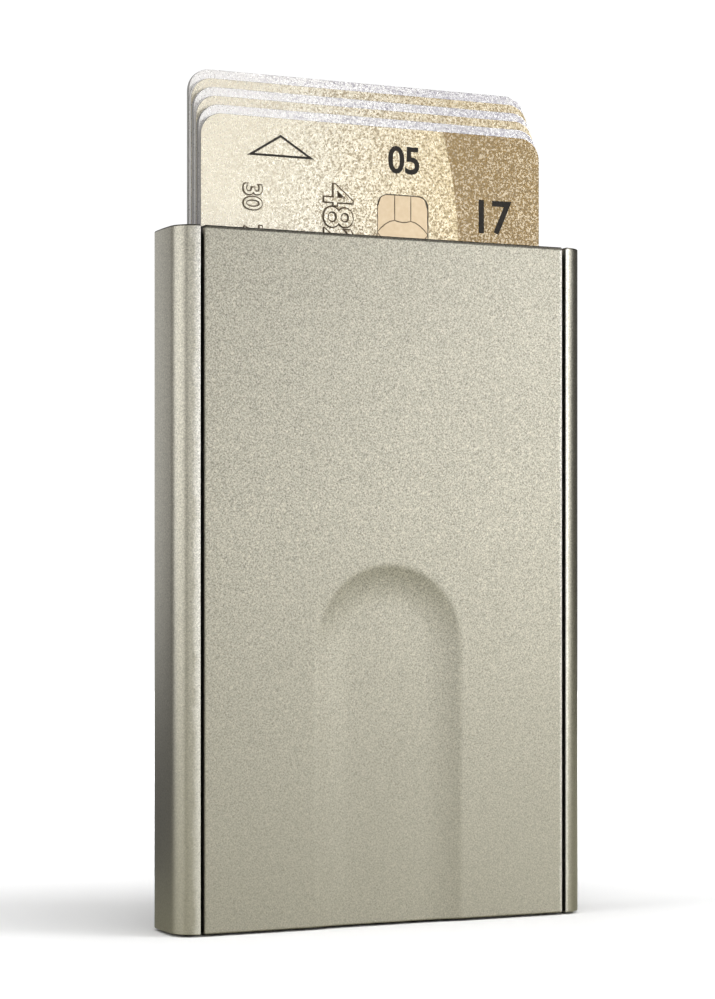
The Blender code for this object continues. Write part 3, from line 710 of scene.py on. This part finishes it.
def foil_print(name, pale, rich, field=None):
    """Flakes over a colour that goes from pale at the left to rich; field is a second colour."""
    finish, tree, shader, place = new_finish(
        name, 0.42, 0.55, Coat_Weight=0.3, Coat_Roughness=0.15, Specular_IOR_Level=0.4
    )
    flakes = use_group(tree, flake_group, Vector=place, Flake_Size=0.22 * MM, Depth=0.006 * MM)
    where = axes_of(tree, place)
    ground = blend(tree, ramp(tree, where["X"], -9 * MM, 14 * MM), pale, rich)
    if field is not None:
        below = maths(tree, "SUBTRACT", STACK_TOP, where["Z"])
        wave = maths(tree, "SINE", times(tree, below, SWAY_PER_METRE))
        border = maths(tree, "ADD", times(tree, below, FIELD_LEAN), FIELD_LEFT)
        border = maths(tree, "ADD", border, times(tree, wave, SWAY))
        inside = ramp(tree, maths(tree, "SUBTRACT", where["X"], border), -0.1 * MM, 0.1 * MM)
        ground = blend(tree, inside, ground, field)
    warm = rich[2] < 0.5
    shade, glint = ((0.26, 0.19, 0.10), (1.0, 0.95, 0.82)) if warm else ((0.36, 0.34, 0.40), (1.0, 1.0, 1.0))
    strength = ramp(tree, where["X"], -26 * MM, -6 * MM, 0.12, 0.78)
    dull = blend(tree, times(tree, flakes["Shade"], strength), ground, shade)
    spark = blend(tree, 0.4, ground, glint)
    lit = blend(tree, times(tree, flakes["Glint"], strength), dull, spark)
    dress(tree, shader, lit, ramp(tree, flakes["Glint"], 0.0, 1.0, 0.45, 0.25), flakes["Height"])
    return finish


BRONZE = (0.265, 0.162, 0.038)
gold_front = foil_print("gold_foil_with_bronze_field", (0.89, 0.83, 0.69), (0.71, 0.57, 0.33), BRONZE)
gold_print = foil_print("gold_foil", (0.88, 0.82, 0.69), (0.60, 0.50, 0.33))
silver_print = foil_print("silver_foil", (0.93, 0.91, 0.90), (0.60, 0.585, 0.60))
print("prints:", gold_front.name, gold_print.name, silver_print.name)

# %% Card core
CARD_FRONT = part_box("card_1")[0].y
CARD_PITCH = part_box("card_2")[0].y - CARD_FRONT
HALF_CARD = 0.38 * MM


def card_core(name, dim, pale):
    """The white layers seen on a card's edge, with painted shade: a dark line where neighbouring cards meet,
    and darker edges on the front cards.
    """
    finish, tree, shader, place = new_finish(name, 0.5, 0.0)
    where = axes_of(tree, place)
    in_stack = maths(tree, "DIVIDE", maths(tree, "SUBTRACT", where["Y"], CARD_FRONT), CARD_PITCH)
    in_card = times(tree, maths(tree, "FRACT", in_stack), CARD_PITCH)
    off_middle = maths(tree, "ABSOLUTE", maths(tree, "SUBTRACT", in_card, HALF_CARD))
    # Painted shade: a dark line where neighbouring cards meet, and darker edges on the front cards.
    painted_gap_shade = ramp(tree, off_middle, 0.22 * MM, 0.34 * MM, 0.0, 0.94)
    layers = noise(tree, place, 900.0, 3.0)
    front_cards_painted_shade = ramp(tree, in_stack, 0.5, 4.5, 0.6, 0.0)
    white = blend(tree, front_cards_painted_shade, blend(tree, layers, dim, pale), (0.12, 0.115, 0.11))
    colour = blend(tree, painted_gap_shade, white, (0.07, 0.065, 0.06))
    dress(tree, shader, colour, heights=times(tree, layers, 0.006 * MM))
    return finish


gold_core = card_core("card_core_of_gold", (0.72, 0.71, 0.70), (0.9, 0.89, 0.88))
silver_core = card_core("card_core_of_silver", (0.34, 0.335, 0.33), (0.46, 0.455, 0.45))
print("cores:", gold_core.name, silver_core.name)


# %% Card back
def band(tree, value, low, high, soft=0.06 * MM):
    """A mask that is 1 between low and high."""
    enter = ramp(tree, value, low - soft, low + soft)
    leave = ramp(tree, value, high - soft, high + soft, 1.0, 0.0)
    return times(tree, enter, leave)


back_finish, tree, shader, place = new_finish(
    "card_back_with_stripe", 0.4, 0.0, Coat_Weight=0.4, Coat_Roughness=0.1
)
flakes = use_group(tree, flake_group, Vector=place, Flake_Size=0.25 * MM, Depth=0.003 * MM)
where = axes_of(tree, place)
stripe = band(tree, where["X"], 10.3 * MM, 22.9 * MM)
panel_height = band(tree, where["Z"], 44.0 * MM, 108.0 * MM)
panel = times(tree, band(tree, where["X"], -3.0 * MM, 6.0 * MM), panel_height)
waves = {"Vector": place, "Scale": 420.0, "Distortion": 1.5, "Detail": 1.0}
lines = add_node(tree, "TexWave", waves, bands_direction="DIAGONAL").outputs["Fac"]
lined = blend(tree, times(tree, lines, 0.25), (0.86, 0.86, 0.84), (0.6, 0.62, 0.66))
speckle = times(tree, flakes["Shade"], 0.18)
ground = blend(tree, speckle, (0.80, 0.79, 0.80), (0.5, 0.49, 0.55))
ground = blend(tree, panel, ground, lined)
ground = blend(tree, stripe, ground, (0.022, 0.018, 0.016))
scuffs = ramp(tree, noise(tree, place, 90.0, 5.0, 0.7), 0.0, 1.0, 0.25, 0.6)
dress(tree, shader, ground, scuffs, times(tree, flakes["Height"], 0.5))
print("card back", back_finish.name)

# %% [markdown]
# ## Cards
# A payment card is 85.60 by 53.98 mm and 0.76 mm thick, with round corners. One blank is made from a
# block: its corners and rims are rounded and the chip's pocket is cut. It is then copied six times,
# each copy a step higher and further back, with a mesh of its own.

# %% Card blank
CARD_CORNER, POCKET_CORNER, CARD_RIM = 3.18 * MM, 1.68 * MM, 0.09 * MM
POCKET_LEFT, POCKET_RIGHT, POCKET_ROOM = 0.32 * MM, 8.58 * MM, 0.08 * MM
card_low, card_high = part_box("card_1")
chip_low, chip_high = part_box("card_1_chip")
blank = add_block("card_blank", card_low, card_high)


def runs_deep(edge):
    """Edges that run through a flat piece from front to back."""
    return (edge.verts[0].co.xz - edge.verts[1].co.xz).length < HAIR


round_edges(blank, runs_deep, CARD_CORNER, 12)
pocket_low = (POCKET_LEFT, chip_low.y - 1.0 * MM, chip_low.z - POCKET_ROOM)
pocket_high = (POCKET_RIGHT, chip_high.y + 0.05 * MM, chip_high.z + POCKET_ROOM)
pocket = add_block("pocket", pocket_low, pocket_high)
round_edges(pocket, runs_deep, POCKET_CORNER, 8)
carve(blank, pocket)


def on_rim(edge):
    """Edges round the outside of the card's two faces."""
    for vert in edge.verts:
        spot = vert.co
        inner = min(spot.x - card_low.x, card_high.x - spot.x, spot.z - card_low.z, card_high.z - spot.z)
        if inner > 1.0 * MM or min(abs(spot.y - card_low.y), abs(spot.y - card_high.y)) > HAIR:
            return False
    return abs(edge.verts[0].co.y - edge.verts[1].co.y) < HAIR


round_edges(blank, on_rim, CARD_RIM, 2)
smooth_off(blank)
print("blank:", len(blank.data.polygons), "faces")

# %% Chip
MIDDLE_HALF, LINE_RISE, CHIP_CORNER = 1.3 * MM, 1.85 * MM, 1.6 * MM
CHIP_SHIFT, CHIP_DEPTH = 0.35 * MM, 0.26 * MM
LINE_DEPTH, LINE_HALF, CONTACT_RISE = 0.04 * MM, 0.08 * MM, 0.035 * MM
COLUMNS = [0.0, 0.65, 1.3, 2.05, 2.8, 3.45, 4.05]
chip_middle = (chip_low + chip_high) / 2 - Vector((CHIP_SHIFT, 0.0, 0.0))
half_x, half_z = COLUMNS[-1] * MM, (chip_high.z - chip_low.z) / 2


def line_at(x):
    """Height of the contact lines above the chip's middle, at a distance from its centre line."""
    if abs(x) < MIDDLE_HALF:
        return LINE_RISE - 0.25 * MM * math.cos(math.pi * x / (2 * MIDDLE_HALF))
    return LINE_RISE - 1.75 * MM * ((abs(x) - MIDDLE_HALF) / (half_x - MIDDLE_HALF)) ** 1.7


deselect_all()
quarter_turn = (math.pi / 2, 0.0, 0.0)
bpy.ops.mesh.primitive_grid_add(x_subdivisions=12, y_subdivisions=8, size=1.0, rotation=quarter_turn)
chip = new_piece("card_chip")
for vert in chip.data.vertices:
    side = -1 if vert.co.x < 0 else 1
    up = -1 if vert.co.z < 0 else 1
    x = COLUMNS[round(abs(vert.co.x) * 12)] * MM
    row = round(abs(vert.co.z) * 8)
    line = line_at(x)
    z = line * row if row < 2 else line + (half_z - line) * (row - 1) / 3
    corner = Vector((half_x - CHIP_CORNER, half_z - CHIP_CORNER))
    over = Vector((x, z)) - corner
    if over.x > 0 and over.y > 0 and over.length > CHIP_CORNER:
        x, z = corner + over.normalized() * CHIP_CORNER
    vert.co = chip_middle + Vector((side * x, chip_low.y - chip_middle.y + LINE_DEPTH, up * z))


def contact_of(point):
    """Which contact a point of the chip belongs to: top and bottom rows of three, and the middle."""
    x, z = point.x - chip_middle.x, point.z - chip_middle.z
    if abs(z) < line_at(x) - 0.01 * MM:
        return 0
    return (1 if x < -MIDDLE_HALF else 3 if x > MIDDLE_HALF else 2) + (0 if z > 0 else 3)


for contact in range(7):
    pick(chip, "FACE", lambda face: contact_of(face.calc_center_median()) == contact)
    bpy.ops.mesh.inset(thickness=LINE_HALF, use_even_offset=False)
    extrude((0.0, -CONTACT_RISE, 0.0))
    leave_edit()
pick(chip, "EDGE", lambda edge: edge.is_boundary)
extrude((0.0, CHIP_DEPTH, 0.0))
bpy.ops.mesh.edge_face_add()
leave_edit()
print("chip:", len(chip.data.polygons), "faces")

# %% [markdown]
# ## Chip finish
# Gold-plated contacts stand a hair above dark lines where the plating was etched away. The height
# tells the two apart, so the finish reads depth instead of a drawn picture.


# %% Chip finishes
def mottled(name, roughness, metallic, scale, detail, first, second, relief=None, **sockets):
    """A finish whose colour wavers between two; relief is the height of its grain."""
    finish, tree, shader, place = new_finish(name, roughness, metallic, **sockets)
    grain = noise(tree, place, scale, detail)
    heights = None if relief is None else times(tree, grain, relief)
    dress(tree, shader, blend(tree, grain, first, second), heights=heights)
    return finish


contact_finish = mottled(
    "gold_plated_contact", 0.32, 0.75, 1400.0, 2.0, (0.56, 0.43, 0.28), (0.66, 0.54, 0.38), relief=0.002 * MM
)
line_finish = mottled("etched_line", 0.55, 0.0, 3000.0, 2.0, (0.07, 0.05, 0.03), (0.16, 0.11, 0.06))
for face in chip.data.polygons:
    flat = abs(face.normal.y) > 0.7
    face.material_index = 0 if flat and face.center.y < chip_low.y + LINE_DEPTH / 2 else 1
print("contact faces:", sum(1 for face in chip.data.polygons if face.material_index == 0))

# %% [markdown]
# ## Figures and marks
# Real cards carry raised figures and small printed marks. Here they are plain counting figures and an
# insertion arrow, so that no bank's card is copied. Text is turned into a mesh before it is placed.

# %% Figure helper
FIGURE_SHARE = 0.729


def add_figures(name, text, height, middle_x, top_z, front_y, depth, bevel, weight, turned=True):
    """Figures whose tops point right, as on a card that stands on its short side; depth is towards -Y."""
    deselect_all()
    bpy.ops.object.text_add()
    figures = bpy.context.active_object
    figures.name = name
    letters = figures.data
    letters.body = text
    letters.size = height / FIGURE_SHARE
    letters.offset = weight
    letters.extrude = depth / 2
    letters.bevel_depth = bevel
    letters.bevel_resolution = 1
    letters.resolution_u = 4
    letters.space_character = 0.95
    bpy.ops.object.convert(target="MESH")
    points = [vert.co.copy() for vert in figures.data.vertices]
    low, high = (Vector([end(point[axis] for point in points) for axis in range(3)]) for end in (min, max))
    for vert in figures.data.vertices:
        x, z = vert.co.x - low.x - weight, vert.co.y - (low.y + high.y) / 2
        y = front_y - (vert.co.z - low.z)
        if turned:
            vert.co = Vector((middle_x + z, y, top_z - x))
        else:
            vert.co = Vector((middle_x + x - (high.x - low.x) / 2, y, top_z + z))
    enter_edit(figures)
    bpy.ops.mesh.remove_doubles(threshold=HAIR / 10)
    face_outwards()
    return figures


# %% Raised figures
long_row = ("4826 1057 3940 6218", 4.75 * MM, -5.9 * MM, 105.6 * MM, card_low.y)
short_row = ("30  71  62", 2.95 * MM, -19.15 * MM, 104.8 * MM, card_low.y)
foot = add_figures("figure_foot", *long_row, 0.07 * MM, 0.0, 0.19 * MM)
short_foot = add_figures("short_figure_foot", *short_row, 0.06 * MM, 0.0, 0.16 * MM)
raised = add_figures("card_figures", *long_row, 0.11 * MM, 0.03 * MM, -0.03 * MM)
short_crest = add_figures("short_figure_crest", *short_row, 0.09 * MM, 0.02 * MM, -0.03 * MM)
join(raised, short_crest)
crest_faces = len(raised.data.polygons)
join(foot, short_foot)
join(raised, foot)
for polygon in raised.data.polygons:
    polygon.material_index = 0 if polygon.index < crest_faces and polygon.normal.y < -0.5 else 1
print("raised figures:", len(raised.data.polygons), "faces, of which", crest_faces, "in the crests")

# %% Printed marks
ink_y, INK_DEPTH, INK_WEIGHT = card_low.y - 0.004 * MM, 0.012 * MM, 0.1 * MM
ARROW = ((-20.0 * MM, 108.9 * MM), (-14.85 * MM, 112.05 * MM), (-9.6 * MM, 108.9 * MM))
ARROW_LINE = 0.32 * MM
deselect_all()
bpy.ops.mesh.primitive_circle_add(vertices=3, radius=1.0, fill_type="NGON", rotation=quarter_turn)
marks = new_piece("card_marks")
for vert, (x, z) in zip(sorted(marks.data.vertices, key=lambda vert: vert.co.x), ARROW):
    vert.co = Vector((x, ink_y, z))
pick(marks, "FACE", lambda face: True)
bpy.ops.mesh.inset(thickness=ARROW_LINE)
bpy.ops.mesh.delete(type="FACE")
bpy.ops.mesh.select_all(action="SELECT")
extrude((0.0, -INK_DEPTH, 0.0))
face_outwards()
flat_print = (ink_y, INK_DEPTH, 0.0, INK_WEIGHT)
tick = add_figures("tick_figures", "05", 4.0 * MM, 4.7 * MM, 109.8 * MM, *flat_print, turned=False)
field = add_figures("field_figures", "17", 5.0 * MM, 19.7 * MM, 102.4 * MM, *flat_print, turned=False)
join(marks, tick, field)
print("printed marks:", len(marks.data.polygons), "faces")

# %% Ink and tipping
ink_finish = mottled(
    "card_ink", 0.45, 0.0, 2600.0, 3.0, (0.012, 0.010, 0.009), (0.045, 0.038, 0.032), Specular_IOR_Level=0.15
)
tip_finish = mottled("worn_tipping", 0.5, 0.1, 1800.0, 3.0, (0.06, 0.04, 0.02), (0.15, 0.10, 0.05))
print("ink", ink_finish.name, tip_finish.name)


# %% Copies
def copy_of(piece, name, offset):
    """A copy with a mesh of its own, moved by an offset in that mesh."""
    twin = piece.copy()
    twin.data = piece.data.copy()
    twin.name = name
    bpy.context.scene.collection.objects.link(twin)
    enter_edit(twin)
    bpy.ops.transform.translate(value=offset)
    leave_edit()
    return twin


for face in blank.data.polygons:
    face.material_index = 0 if face.normal.y < -0.9 else 1 if face.normal.y > 0.9 else 2
bodies = ["first_card", "second_card", "third_card", "fourth_card", "fifth_card", "sixth_card"]
for number, body in enumerate(bodies, start=1):
    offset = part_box(f"card_{number}")[0] - card_low
    if number % 2:
        front, core, slot = gold_print, gold_core, "gold_card_print"
    else:
        front, core, slot = silver_print, silver_core, "silver_card_print"
    if number == 1:
        front = gold_front
    for pattern, kind, nodes, its_slot, finishes in (
        (blank, "card", [f"card_{number}"], slot, (front, back_finish, core)),
        (chip, "chip", [f"card_{number}_chip"], "chip_contact", (contact_finish, line_finish)),
        (raised, "figures", [], slot, (front, tip_finish)),
        (marks, "marks", [], slot, (ink_finish,)),
    ):
        piece = copy_of(pattern, f"payment_{kind}_{number}", offset)
        hand_over(piece, body, nodes, its_slot, *finishes)
for pattern in (blank, chip, raised, marks):
    bpy.data.objects.remove(pattern, do_unlink=True)
print("cards:", len(bodies))

# %% [markdown]
# ## Inner plastic parts
# The strips in the rails, the carriage behind the plate, the stepped lifter and the bottom cap are
# moulded nylon. Their measured forms are right but hard-edged. A merged copy of each gets the small
# edge radius that a mould leaves, and the measured part is no longer shown.

# %% Group: moulded skin
skin_inputs = {"Vector": None, "Spark Size": 0.00012, "Depth": 4e-6}
skin_group, given, out = new_group("moulded_skin", skin_inputs, ["Tone", "Height"])
sparks = noise(skin_group, given["Vector"], maths(skin_group, "DIVIDE", 1.0, given["Spark Size"]), 2.0)
flow = noise(skin_group, given["Vector"], 70.0, 3.0)
skin_group.links.new(weigh(skin_group, sparks, flow, 0.5), out["Tone"])
skin_group.links.new(times(skin_group, sparks, given["Depth"]), out["Height"])
print("group", skin_group.name, len(skin_group.nodes), "nodes")

# %% Nylon
nylon_finish, tree, shader, place = new_finish("black_moulded_nylon", 0.55, 0.0, Specular_IOR_Level=0.4)
skin = use_group(tree, skin_group, Vector=place)
black = blend(tree, skin["Tone"], (0.009, 0.009, 0.010), (0.036, 0.036, 0.040))
dress(tree, shader, black, ramp(tree, skin["Tone"], 0.0, 1.0, 0.42, 0.68), skin["Height"])
print("nylon", nylon_finish.name)


# %% Softened copies
def soften(node, radius, angle=40.0):
    """A merged copy of a measured part with its sharp edges rounded."""
    piece = bpy.data.objects.new(f"soft_{node}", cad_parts[node].data.copy())
    bpy.context.scene.collection.objects.link(piece)
    piece.data.materials.clear()
    enter_edit(piece)
    bpy.ops.mesh.remove_doubles(threshold=5 * HAIR)
    bpy.ops.mesh.dissolve_limited(angle_limit=math.radians(1.0))
    leave_edit()
    sharp = {"limit_method": "ANGLE", "angle_limit": math.radians(angle)}
    modify(piece, "BEVEL", width=radius, segments=2, use_clamp_overlap=True, **sharp)
    smooth_off(piece)
    return piece


for node, body, radius in (
    ("slide_carriage", "slider", 0.08 * MM),
    ("card_lifter", "slider", 0.12 * MM),
    ("left_liner", "case", 0.08 * MM),
    ("right_liner", "case", 0.08 * MM),
    ("bottom_cap", "case", 0.15 * MM),
):
    hand_over(soften(node, radius), body, [node], "black_nylon", nylon_finish)

# %% [markdown]
# ## Screws
# Eight small socket screws hold the wallet together. One is turned like a real one: a rod with a head,
# a hexagon pressed into it and rings for the thread. Copies are turned and moved to each place.


# %% Steel
def steel(name, roughness, grain, streak_range, stain_scale, stain_detail, stain_share, stain, shine, relief):
    """Bare steel: fine marks between two greys, a faint stain, and a shine that follows the stain."""
    finish, tree, shader, place = new_finish(name, roughness, 1.0)
    marks = grain(tree, place)
    stains = noise(tree, place, stain_scale, stain_detail)
    ground = blend(tree, marks, *streak_range)
    stained = blend(tree, times(tree, stains, stain_share), ground, stain)
    dress(tree, shader, stained, ramp(tree, stains, 0.0, 1.0, *shine), times(tree, marks, relief))
    return finish


def tool_marks(tree, place):
    """Fine marks of the turning tool."""
    return noise(tree, place, 3500.0, 3.0)


def drawn_streaks(tree, place):
    """Streaks that are finest along the spring's length."""
    along = add_node(tree, "Mapping", {"Vector": place, "Scale": (900.0, 900.0, 5200.0)})
    return noise(tree, along.outputs[0], 1.0, 3.0)


steel_finish = steel(
    "turned_screw_steel", 0.3, tool_marks, ((0.40, 0.40, 0.42), (0.66, 0.66, 0.68)),
    260.0, 3.0, 0.4, (0.30, 0.29, 0.28), (0.2, 0.5), 0.002 * MM,
)
wire_finish = steel(
    "drawn_spring_wire", 0.25, drawn_streaks, ((0.42, 0.42, 0.43), (0.72, 0.72, 0.72)),
    120.0, 2.0, 0.35, (0.34, 0.31, 0.26), (0.18, 0.42), 0.0015 * MM,
)
print("steel:", steel_finish.name, wire_finish.name)

# %% One screw
HEAD_RADIUS, HEAD_HEIGHT = 1.2 * MM, 0.5 * MM
HEAD_EDGE, NECK = 0.12 * MM, 0.2 * MM
SHANK_RADIUS, SHANK_LENGTH = 0.6 * MM, 2.9 * MM
deselect_all()
head_middle = (0.0, 0.0, HEAD_HEIGHT / 2)
bpy.ops.mesh.primitive_cylinder_add(vertices=48, radius=HEAD_RADIUS, depth=HEAD_HEIGHT, location=head_middle)
screw = new_piece("socket_screw")
round_edges(screw, level(HEAD_HEIGHT), HEAD_EDGE, 4)
pick(screw, "FACE", lambda face: face.normal.z < -0.9)
bpy.ops.mesh.inset(thickness=HEAD_RADIUS - SHANK_RADIUS)
extrude((0.0, 0.0, -NECK))
leave_edit()
print("screw head:", len(screw.data.polygons), "faces")

# %% Thread and socket
THREAD_PITCH, ROOT_SHARE = 0.3 * MM, 0.84
SOCKET_RADIUS, SOCKET_DEPTH = 0.55 * MM, 0.3 * MM
rings = int((SHANK_LENGTH - 2 * NECK) / THREAD_PITCH)
for ring in range(rings):
    for share, radius_share in ((0.45, ROOT_SHARE), (0.55, 1.0 / ROOT_SHARE)):
        bottom = min(vert.co.z for vert in screw.data.vertices)
        drop = share * THREAD_PITCH
        pick(screw, "FACE", lambda face: face.normal.z < -0.9 and face.calc_center_median().z < bottom + HAIR)
        extrude((0.0, 0.0, -drop))
        middle = (0.0, 0.0, bottom - drop)
        bpy.ops.transform.resize(value=(radius_share, radius_share, 1.0), center_override=middle)
        leave_edit()
deselect_all()
top = (0.0, 0.0, HEAD_HEIGHT)
bpy.ops.mesh.primitive_cylinder_add(vertices=6, radius=SOCKET_RADIUS, depth=2 * SOCKET_DEPTH, location=top)
carve(screw, bpy.context.active_object)
smooth_off(screw, 28.0)
print("screw:", len(screw.data.polygons), "faces, rings:", rings)


# %% Screw places
def set_screw(node, body, head_face, angle, length):
    """Turn and move one copy; its head's outer face goes to head_face, and its neck is pulled to length."""
    copy = copy_of(screw, f"socket_{node}", (0.0, 0.0, -HEAD_HEIGHT))
    longer = length + min(vert.co.z for vert in copy.data.vertices)
    pick(copy, "VERT", lambda vert: vert.co.z < -HEAD_HEIGHT - NECK / 2)
    bpy.ops.transform.translate(value=(0.0, 0.0, -longer))
    bpy.ops.mesh.select_all(action="SELECT")
    bpy.ops.transform.rotate(value=angle, orient_axis="X", center_override=(0.0, 0.0, 0.0))
    bpy.ops.transform.translate(value=head_face)
    leave_edit()
    hand_over(copy, body, [node], "screw_steel", steel_finish)


plate_screws = [f"plate_screw_{number}" for number in (1, 2, 3, 4)]
for node in (*plate_screws, "lifter_screw_1", "lifter_screw_2"):
    low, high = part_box(node)
    head, angle = (high.y, math.pi / 2) if node.startswith("plate") else (low.y, -math.pi / 2)
    head_face = ((low.x + high.x) / 2, head, (low.z + high.z) / 2)
    set_screw(node, "slider", head_face, angle, high.y - low.y)
for node in ("cap_screw_left", "cap_screw_right"):
    low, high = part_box(node)
    head_face = ((low.x + high.x) / 2, (low.y + high.y) / 2, low.z)
    set_screw(node, "case", head_face, math.pi, high.z - low.z)
bpy.data.objects.remove(screw, do_unlink=True)

# %% [markdown]
# ## Springs
# Each rail hides a long compression spring. A round section is carried round its axis by a Screw
# modifier, twenty turns, which is how a spring is wound. The leaf springs that grip the cards are
# softened like the plastic.

# %% Return springs
TURNS = 20
WIRE_RADIUS = 0.15 * MM
for side in ("left", "right"):
    low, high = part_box(f"{side}_return_spring")
    length = high.z - low.z
    coil_radius = (high.x - low.x) / 2 - WIRE_RADIUS
    deselect_all()
    start = (coil_radius, 0.0, 0.0)
    bpy.ops.mesh.primitive_circle_add(vertices=10, radius=WIRE_RADIUS, location=start, rotation=quarter_turn)
    spring = new_piece(f"wound_{side}_return_spring")
    pitch = (length - 2 * WIRE_RADIUS) / TURNS
    modify(spring, "SCREW", axis="Z", iterations=TURNS, steps=20, render_steps=20, screw_offset=pitch)
    pick(spring, "EDGE", lambda edge: edge.is_boundary)
    bpy.ops.mesh.edge_face_add()
    bpy.ops.mesh.select_all(action="SELECT")
    bpy.ops.transform.translate(value=((low.x + high.x) / 2, (low.y + high.y) / 2, low.z + WIRE_RADIUS))
    face_outwards()
    smooth_off(spring, 60.0)
    hand_over(spring, "case", [f"{side}_return_spring"], "spring_steel", wire_finish)
    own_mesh(spring)

# %% Grip springs
for node in ("left_grip_spring", "right_grip_spring"):
    hand_over(soften(node, 0.03 * MM, 60.0), "case", [node], "spring_steel", wire_finish)

# %% End
low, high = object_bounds()
print("visual box in mm:", [round(v / MM, 2) for v in (*low, *high)])
